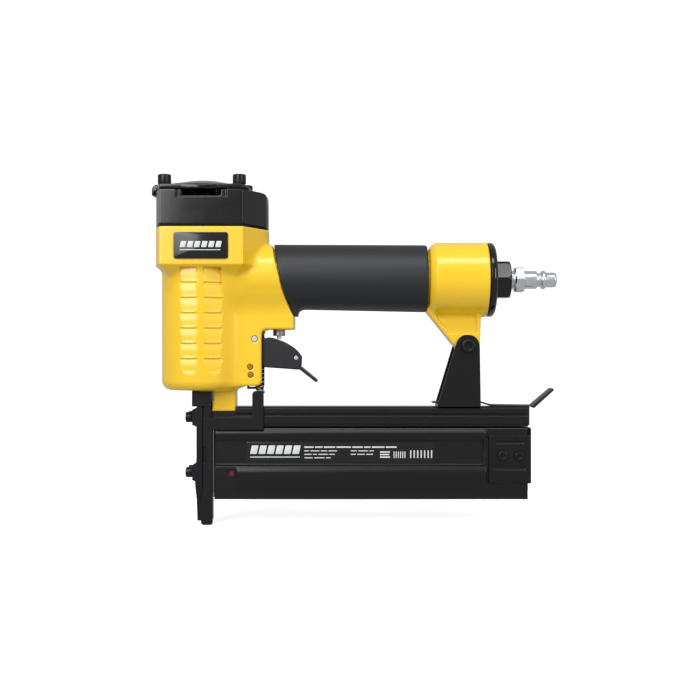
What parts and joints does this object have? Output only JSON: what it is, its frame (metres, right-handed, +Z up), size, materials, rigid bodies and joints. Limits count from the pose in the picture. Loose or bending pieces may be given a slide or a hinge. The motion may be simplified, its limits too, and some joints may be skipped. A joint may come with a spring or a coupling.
{
  "type": "pneumatic nail gun",
  "caption": "Pneumatic brad nailer with a cast body, rubber grip, sliding nail magazine, sprung safety, trigger and air inlet plug.",
  "frame": {"origin": "middle of the nose plate's end face, which presses on the work; the drive axis is 2 mm behind it", "axes": "+X back along the handle to the air inlet, +Z up the drive axis, the operator's right-hand side is -Y"},
  "size_m": [0.2691, 0.061, 0.2292],
  "materials": {
    "yellow_enamel": "glossy enamel on die-cast aluminium",
    "black_enamel": "semi-gloss black enamel",
    "black_oxide": "black oxide",
    "black_anodised": "black anodised extrusion",
    "grip_rubber": "matt moulded rubber",
    "seal_rubber": "nitrile rubber",
    "bumper_rubber": "urethane rubber",
    "bright_steel": "bright steel",
    "chrome_plate": "bright chrome plate",
    "brass": "turned brass",
    "cast_aluminium": "machined casting",
    "red_plastic": "moulded plastic",
    "label_film": "printed film"
  },
  "bodies": {
    "gun": {"gun_body": "yellow_enamel", "cylinder_cap": "black_enamel", "exhaust_cover": "black_enamel", "end_cap": "black_enamel", "rear_bracket": "black_enamel", "cap_screw_1": "black_oxide", "cap_screw_2": "black_oxide", "cap_screw_3": "black_oxide", "cap_screw_4": "black_oxide", "nose_bolt_1": "black_oxide", "nose_bolt_2": "black_oxide", "nose_bolt_3": "black_oxide", "nose_bolt_4": "black_oxide", "driver_guide": "black_oxide", "nose_plate": "black_oxide", "bracket_bolt": "black_oxide", "bracket_nut": "black_oxide", "bracket_screw_1": "black_oxide", "bracket_screw_2": "black_oxide", "latch_leaf": "black_oxide", "fixed_magazine": "black_anodised", "grip_sleeve": "grip_rubber", "cap_gasket": "seal_rubber", "cylinder_seal_lower": "seal_rubber", "cylinder_seal_upper": "seal_rubber", "end_cap_ring_seal": "seal_rubber", "bumper": "bumper_rubber", "head_valve_spring": "bright_steel", "trigger_valve_spring": "bright_steel", "trigger_pin": "bright_steel", "safety_spring": "bright_steel", "air_plug": "chrome_plate", "trigger_valve_housing": "brass", "safety_guide_pin_1": "brass", "safety_guide_pin_2": "brass", "cylinder": "cast_aluminium", "name_badge": "label_film"},
    "trigger": {"trigger": "black_enamel", "trigger_lever_pin": "bright_steel"},
    "trigger_lever": {"trigger_lever": "bright_steel"},
    "valve_stem": {"trigger_valve_stem": "bright_steel"},
    "safety": {"safety_lower": "black_oxide", "safety_upper": "black_oxide"},
    "piston": {"piston": "cast_aluminium", "piston_ring_seal": "seal_rubber", "driver_blade": "bright_steel"},
    "head_valve": {"head_valve_piston": "cast_aluminium", "head_valve_ring_seal": "seal_rubber"},
    "magazine": {"sliding_magazine": "black_anodised", "magazine_end_block": "black_anodised", "pusher_rod": "bright_steel", "magazine_label": "label_film", "rear_cover": "black_enamel", "rear_cover_screw_1": "black_oxide", "rear_cover_screw_2": "black_oxide", "pusher_spring": "bright_steel"},
    "pusher": {"pusher": "red_plastic"},
    "latch": {"latch_lever": "black_oxide"}
  },
  "joints": [
    {"name": "trigger_pull", "type": "hinge", "parent": "gun", "child": "trigger", "pos_m": [0.0357, 0, 0.1207], "axis": [0, -1, 0], "range_deg": [0, 7], "stiffness_Nm_per_rad": 0.5, "springref_deg": -11.46},
    {"name": "lever_swing", "type": "hinge", "parent": "trigger", "child": "trigger_lever", "pos_m": [0.0628, 0, 0.1083], "axis": [0, 1, 0], "range_deg": [0, 17.5]},
    {"name": "stem_lift", "type": "slide", "parent": "gun", "child": "valve_stem", "axis": [0, 0, 1], "range_m": [0, 0.0025], "deforming": ["trigger_valve_spring"]},
    {"name": "safety_lift", "type": "slide", "parent": "gun", "child": "safety", "axis": [0, 0, 1], "range_m": [0, 0.006], "stiffness_N_per_m": 300, "springref_m": -0.01, "deforming": ["safety_spring"]},
    {"name": "piston_drive", "type": "slide", "parent": "gun", "child": "piston", "axis": [0, 0, -1], "range_m": [0, 0.06]},
    {"name": "head_valve_lift", "type": "slide", "parent": "gun", "child": "head_valve", "axis": [0, 0, 1], "range_m": [0, 0.004], "stiffness_N_per_m": 2000, "springref_m": -0.004, "deforming": ["head_valve_spring"]},
    {"name": "magazine_slide", "type": "slide", "parent": "gun", "child": "magazine", "axis": [1, 0, 0], "range_m": [0, 0.13]},
    {"name": "pusher_slide", "type": "slide", "parent": "magazine", "child": "pusher", "axis": [1, 0, 0], "range_m": [0, 0.127], "stiffness_N_per_m": 25, "springref_m": -0.12, "deforming": ["pusher_spring"]},
    {"name": "latch_lift", "type": "hinge", "parent": "gun", "child": "latch", "pos_m": [0.193, 0, 0.0767], "axis": [0, -1, 0], "range_deg": [0, 10], "stiffness_Nm_per_rad": 0.5, "springref_deg": -11.46}
  ],
  "couplings": [
    {"joint": "stem_lift", "follows": "trigger_pull", "m_per_rad": 0.02046},
    {"joint": "lever_swing", "follows": "safety_lift", "rad_per_m": 50.9}
  ]
}
